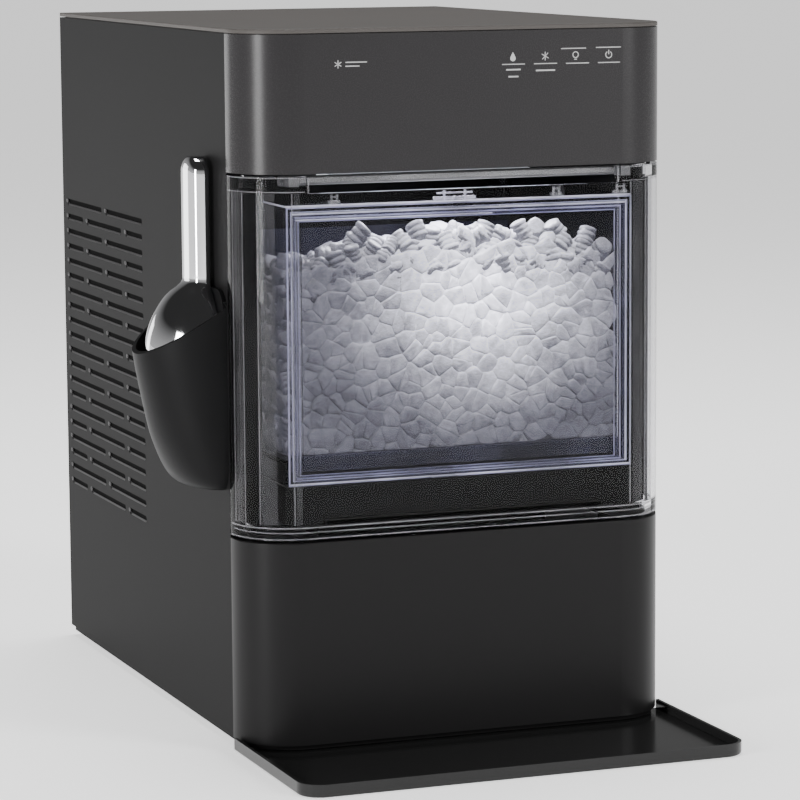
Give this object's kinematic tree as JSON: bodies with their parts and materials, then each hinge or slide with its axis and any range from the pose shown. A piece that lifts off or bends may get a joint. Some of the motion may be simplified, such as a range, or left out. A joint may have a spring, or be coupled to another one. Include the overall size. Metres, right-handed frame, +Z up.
{
  "type": "ice maker",
  "caption": "Countertop nugget ice maker with a pull-out clear ice drawer, rounded dark metal cabinet, louvred sides, magnetic scoop holder with scoop and a sliding drip tray.",
  "frame": {"origin": "bottom centre of the whole object's box, on the counter the feet and tray stand on", "axes": "+Z up, -Y out of the drawer front, +X to the viewer's right when facing the front; the scoop holder is on the -X side"},
  "size_m": [0.3134, 0.4878, 0.419],
  "materials": {
    "black_steel": "satin",
    "top_steel": "satin",
    "black_front": "satin",
    "black_plastic": "matte",
    "grey_plastic": "satin",
    "tray_gloss": "gloss",
    "white_plastic": "satin",
    "rubber": "matte",
    "galvanised": "satin",
    "stainless": "brushed",
    "polished_aluminium": "polished",
    "fin_aluminium": "mill",
    "copper": "polished",
    "magnet": "plated",
    "smoke_clear": "gloss",
    "violet_clear": "gloss",
    "lens": "frosted",
    "board": "satin",
    "foam": "matte",
    "hose": "satin"
  },
  "bodies": {
    "cabinet": {"base_pan": "black_steel", "rubber_feet": "rubber", "left_side_panel": "black_steel", "right_side_panel": "black_steel", "rear_panel": "black_steel", "rear_screws": "magnet", "top_cover": "top_steel", "upper_front_housing": "black_front", "lower_front_housing": "black_front", "touch_board": "board", "status_light_guide": "lens", "main_control_board": "board", "ice_bay_liner": "black_plastic", "led_strip": "white_plastic", "led_lens": "lens", "ice_level_sensors": "grey_plastic", "water_reservoir": "grey_plastic", "water_filter": "white_plastic", "float_stem": "white_plastic", "water_pump": "black_plastic", "pump_inlet_hose": "hose", "evaporator_feed_hose": "hose", "drain_hose": "hose", "drain_recess": "black_plastic", "power_cord_gland": "rubber", "compressor": "black_steel", "compressor_plate": "galvanised", "compressor_grommets": "rubber", "starter_relay": "black_plastic", "condenser_fins": "fin_aluminium", "condenser_tube": "copper", "fan_shroud": "black_plastic", "fan_motor": "galvanised", "gearbox_housing": "fin_aluminium", "auger_motor": "galvanised", "evaporator_barrel": "stainless", "barrel_seal_housing": "grey_plastic", "evaporator_coil": "copper", "evaporator_insulation": "foam", "nugget_extruder_head": "stainless", "ice_chute": "white_plastic", "filter_drier": "copper", "compressor_lines": "copper", "capillary_line": "copper"},
    "drawer": {"drawer_window": "smoke_clear", "drawer_shelf": "black_plastic", "drawer_runners": "black_plastic", "drawer_grip_bar": "grey_plastic", "ice_bin": "violet_clear", "drawer_gasket": "rubber"},
    "tray": {"drip_tray": "tray_gloss"},
    "holder": {"scoop_holder": "black_plastic", "holder_magnets": "magnet"},
    "scoop": {"ice_scoop": "polished_aluminium"},
    "fan": {"fan_rotor": "black_plastic"},
    "auger": {"auger": "stainless", "auger_gear": "white_plastic"},
    "pinion": {"motor_pinion": "stainless"},
    "float": {"reservoir_float": "white_plastic"},
    "plug": {"drain_plug": "rubber"}
  },
  "joints": [
    {"name": "drawer_slide", "type": "slide", "parent": "cabinet", "child": "drawer", "axis": [0, -1, 0], "range_m": [0, 0.15]},
    {"name": "tray_slide", "type": "slide", "parent": "cabinet", "child": "tray", "axis": [0, -1, 0], "range_m": [0, 0.12]},
    {"name": "holder_pull", "type": "slide", "parent": "cabinet", "child": "holder", "axis": [-1, 0, 0], "range_m": [0, 0.05]},
    {"name": "scoop_lift", "type": "slide", "parent": "holder", "child": "scoop", "axis": [0, 0, 1], "range_m": [0, 0.13]},
    {"name": "fan_spin", "type": "hinge", "parent": "cabinet", "child": "fan", "pos_m": [-0.07755, 0.1501, 0.215], "axis": [1, 0, 0], "continuous": true},
    {"name": "auger_spin", "type": "hinge", "parent": "cabinet", "child": "auger", "pos_m": [0.08275, 0.1431, 0.15], "axis": [0, 0, 1], "continuous": true},
    {"name": "pinion_spin", "type": "hinge", "parent": "cabinet", "child": "pinion", "pos_m": [0.08275, 0.1056, 0.15], "axis": [0, 0, 1], "continuous": true},
    {"name": "float_rise", "type": "slide", "parent": "cabinet", "child": "float", "axis": [0, 0, 1], "range_m": [-0.04, 0.018]},
    {"name": "plug_pull", "type": "slide", "parent": "cabinet", "child": "plug", "axis": [0, 1, 0], "range_m": [0, 0.03]}
  ],
  "couplings": [
    {"joint": "pinion_spin", "follows": "auger_spin", "ratio": -4}
  ]
}
